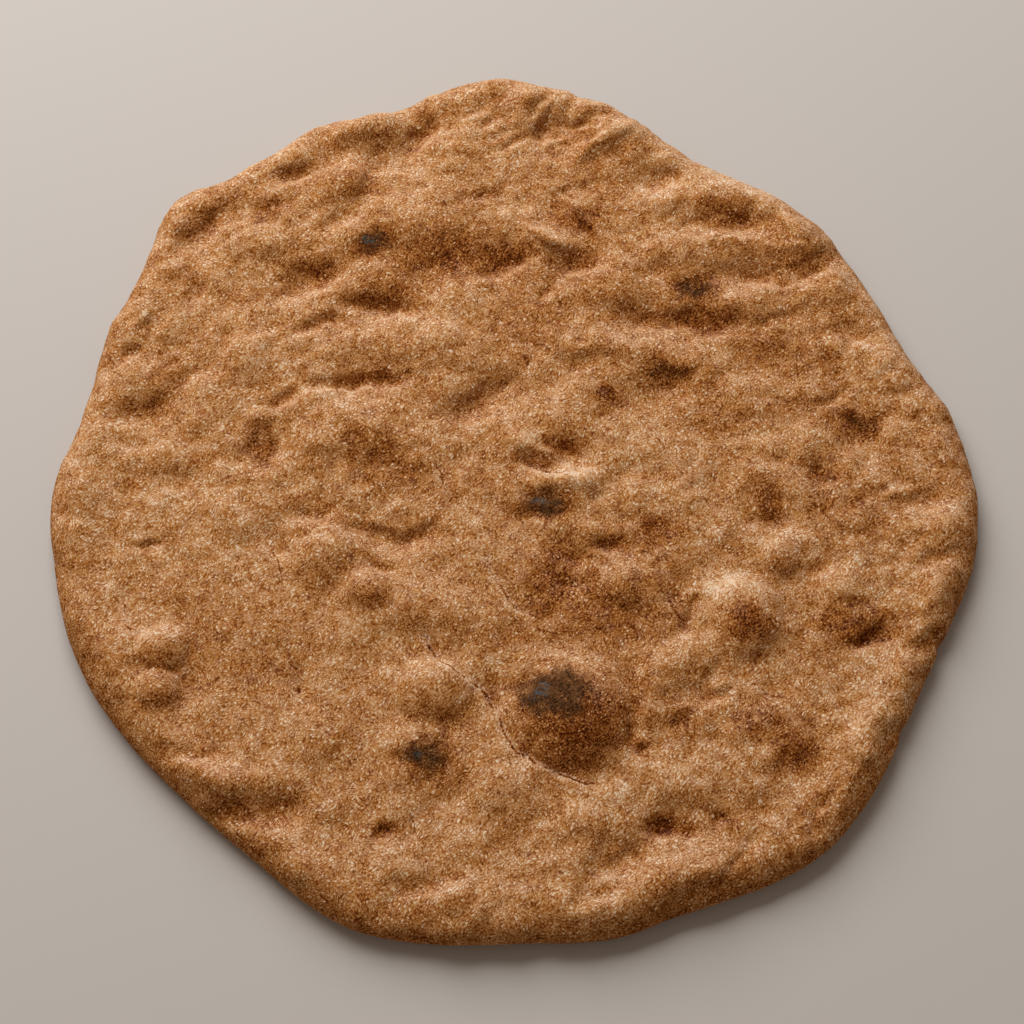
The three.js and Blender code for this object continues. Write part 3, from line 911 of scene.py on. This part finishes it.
class FLATBREAD_OT_meal(bpy.types.Operator):
    """Scatters flecks of coarse meal over the crust"""

    bl_idname = "flatbread.meal"
    bl_label = "Meal flecks"
    bl_options = {"REGISTER", "UNDO"}

    def execute(self, context):
        settings = context.scene.flatbread_meal
        draw = np.random.default_rng(settings.seed)
        form, faces = fleck_form()
        points, normals = scatter(bpy.data.meshes[CRUST_PIECE], settings.count, draw)
        heading, sideways = fleck_axes(points, normals, draw)
        size = draw.random(settings.count) ** FLECK_SKEW
        length = (settings.shortest + size * (settings.longest - settings.shortest)) / MM
        width = settings.width / MM * draw.uniform(*FLECK_WIDTHS, settings.count)
        thickness = settings.thickness / MM * draw.uniform(*FLECK_THICKNESSES, settings.count)
        offsets = (
            form[None, :, 0:1] * (0.5 * length[:, None] * heading)[:, None]
            + form[None, :, 1:2] * (0.5 * width[:, None] * sideways)[:, None]
            + form[None, :, 2:3] * (thickness[:, None] * normals)[:, None]
        )
        places = (points[:, None] + offsets).reshape(-1, 3)
        steps = len(form) * np.arange(settings.count)
        rings = (faces[None] + steps[:, None, None]).reshape(-1, faces.shape[1])
        mesh = bpy.data.meshes.new(MEAL_PIECE)
        mesh.from_pydata(places * MM, [], rings)
        mesh.shade_smooth()
        outlines = wandering(points, SPOT_WANDER)
        gap, crack, _ = crack_lines(wandering(points, CRACK_WANDER))
        # Painted light: the flecks' lean towards the key light makes them paler
        # The flecks' toast holds the painted shade on the rim's side as well
        for name, values in (
            ("tint", draw.random(settings.count)),
            ("painted_light_lean", lean_towards_key_light(normals)),
            ("toast_and_edge_shade", np.maximum(spots(outlines, TOASTED), edge_toast_and_shade(points, normals))),
            ("char", spots(outlines, CHARRED)),
            ("ash", spots(outlines, ASHED)),
            ("greying", crack * np.exp(-((gap / CRACK_WIDTH) ** 2))),
        ):
            set_attribute(mesh, name, np.repeat(values, len(form)))
        piece = add_piece(MEAL_PIECE, mesh, meal_material(context.scene.flatbread_crust))
        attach(piece, BODY)
        return {"FINISHED"}


class FLATBREAD_OT_stage(bpy.types.Operator):
    """Sets the floor, the soft light and the camera"""

    bl_idname = "flatbread.stage"
    bl_label = "Stage"
    bl_options = {"REGISTER", "UNDO"}

    def execute(self, context):
        settings = context.scene.flatbread_stage
        scene = context.scene
        flat = bmesh.new()
        bmesh.ops.create_grid(flat, x_segments=1, y_segments=1, size=settings.floor_size)
        bmesh.ops.translate(flat, verts=flat.verts, vec=(0, 0, -FLOOR_GAP))
        floor_mesh = bpy.data.meshes.new("floor")
        flat.to_mesh(floor_mesh)
        flat.free()
        add_piece("floor", floor_mesh, floor_material(settings))

        lamp = bpy.data.lights.new("soft_key", "AREA")
        lamp.shape = "SQUARE"
        lamp.size = settings.key_size
        lamp.energy = settings.key_power
        key = bpy.data.objects.new("soft_key", lamp)
        towards = Vector((
            math.cos(settings.key_turn) * math.cos(settings.key_rise),
            math.sin(settings.key_turn) * math.cos(settings.key_rise),
            math.sin(settings.key_rise),
        ))
        key.location = settings.key_distance * towards
        key.rotation_euler = towards.to_track_quat("Z", "Y").to_euler()
        scene.collection.objects.link(key)

        sky = bpy.data.worlds.new("studio")
        sky.use_nodes = True
        background = sky.node_tree.nodes["Background"]
        background.inputs["Color"].default_value = opaque(settings.sky_colour)
        background.inputs["Strength"].default_value = settings.sky
        scene.world = sky
        scene.view_settings.view_transform = "Standard"

        lens = bpy.data.cameras.new("camera")
        lens.lens = settings.lens
        lens.sensor_width = SENSOR
        camera = bpy.data.objects.new("camera", lens)
        back = Vector((0, -math.cos(settings.camera_rise), math.sin(settings.camera_rise)))
        camera.location = Vector(settings.camera_aim) + settings.camera_distance * back
        camera.rotation_euler = back.to_track_quat("Z", "Y").to_euler()
        scene.collection.objects.link(camera)
        scene.camera = camera
        return {"FINISHED"}


class FLATBREAD_PT_pieces(bpy.types.Panel):
    """Lists the settings and the steps"""

    bl_idname = "FLATBREAD_PT_pieces"
    bl_label = "Rye Flatbread"
    bl_space_type = "VIEW_3D"
    bl_region_type = "UI"
    bl_category = "Flatbread"

    def draw(self, context):
        for operator, settings in (
            (FLATBREAD_OT_crust, context.scene.flatbread_crust),
            (FLATBREAD_OT_meal, context.scene.flatbread_meal),
            (FLATBREAD_OT_stage, context.scene.flatbread_stage),
        ):
            section = self.layout.box()
            for name in settings.__annotations__:
                section.prop(settings, name)
            section.operator(operator.bl_idname)


CLASSES = (
    CrustSettings, MealSettings, StageSettings,
    FLATBREAD_OT_crust, FLATBREAD_OT_meal, FLATBREAD_OT_stage, FLATBREAD_PT_pieces,
)


def register():
    """Makes the settings, the steps and the panel known to Blender."""
    for kind in CLASSES:
        bpy.utils.register_class(kind)
    bpy.types.Scene.flatbread_crust = bpy.props.PointerProperty(type=CrustSettings)
    bpy.types.Scene.flatbread_meal = bpy.props.PointerProperty(type=MealSettings)
    bpy.types.Scene.flatbread_stage = bpy.props.PointerProperty(type=StageSettings)


def unregister():
    """Takes them out again."""
    del bpy.types.Scene.flatbread_stage
    del bpy.types.Scene.flatbread_meal
    del bpy.types.Scene.flatbread_crust
    for kind in reversed(CLASSES):
        bpy.utils.unregister_class(kind)


def main():
    """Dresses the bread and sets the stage."""
    register()
    bpy.ops.flatbread.crust()
    bpy.ops.flatbread.meal()
    bpy.ops.flatbread.stage()


if __name__ == "__main__":
    main()
